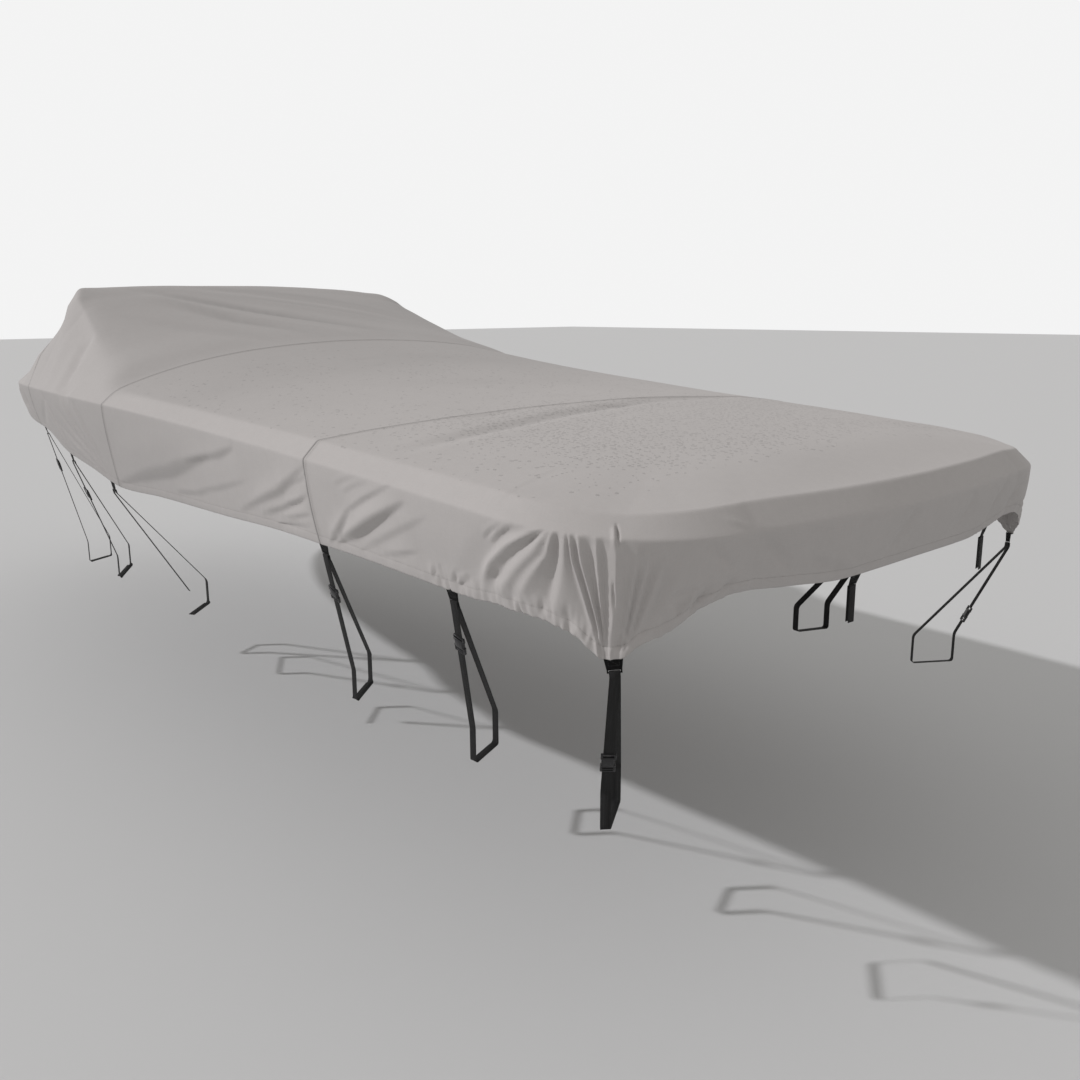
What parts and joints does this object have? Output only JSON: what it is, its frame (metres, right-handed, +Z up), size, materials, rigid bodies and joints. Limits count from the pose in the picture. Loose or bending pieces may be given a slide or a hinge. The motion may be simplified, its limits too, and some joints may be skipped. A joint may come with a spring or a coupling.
{
  "type": "fitted boat cover with tie-down straps",
  "caption": "Fitted cloth cover for an open runabout, tented over the windscreen, with a sloping band round its edge, an elastic hem and webbing tie-downs",
  "frame": {"origin": "the point under the cloth where the windscreen's top carries it, on the centreline", "axes": "+X towards the stern, +Y to starboard, +Z up"},
  "size_m": [6.17, 2.3, 1.3407],
  "materials": {
    "cover_cloth": "coated woven polyester, matt warm grey",
    "webbing": "black polypropylene webbing",
    "buckle_plastic": "black moulded acetal"
  },
  "bodies": {
    "root": {"bow_panel": "cover_cloth", "fore_panel": "cover_cloth", "mid_panel": "cover_cloth", "port_corner_tie_buckle": "buckle_plastic", "port_corner_tie_strap": "webbing", "port_corner_tie_tab": "webbing", "port_tie_1_buckle": "buckle_plastic", "port_tie_1_strap": "webbing", "port_tie_1_tab": "webbing", "port_tie_2_buckle": "buckle_plastic", "port_tie_2_strap": "webbing", "port_tie_2_tab": "webbing", "port_tie_3_strap": "webbing", "port_tie_3_tab": "webbing", "port_tie_4_buckle": "buckle_plastic", "port_tie_4_strap": "webbing", "port_tie_4_tab": "webbing", "port_tie_5_buckle": "buckle_plastic", "port_tie_5_strap": "webbing", "port_tie_5_tab": "webbing", "starboard_corner_tie_buckle": "buckle_plastic", "starboard_corner_tie_strap": "webbing", "starboard_corner_tie_tab": "webbing", "starboard_tie_1_buckle": "buckle_plastic", "starboard_tie_1_strap": "webbing", "starboard_tie_1_tab": "webbing", "starboard_tie_2_buckle": "buckle_plastic", "starboard_tie_2_strap": "webbing", "starboard_tie_2_tab": "webbing", "starboard_tie_3_strap": "webbing", "starboard_tie_3_tab": "webbing", "starboard_tie_4_buckle": "buckle_plastic", "starboard_tie_4_strap": "webbing", "starboard_tie_4_tab": "webbing", "starboard_tie_5_buckle": "buckle_plastic", "starboard_tie_5_strap": "webbing", "starboard_tie_5_tab": "webbing", "stern_panel": "cover_cloth", "stern_tie_1_strap": "webbing", "stern_tie_1_tab": "webbing", "stern_tie_2_strap": "webbing", "stern_tie_2_tab": "webbing"}
  },
  "joints": []
}
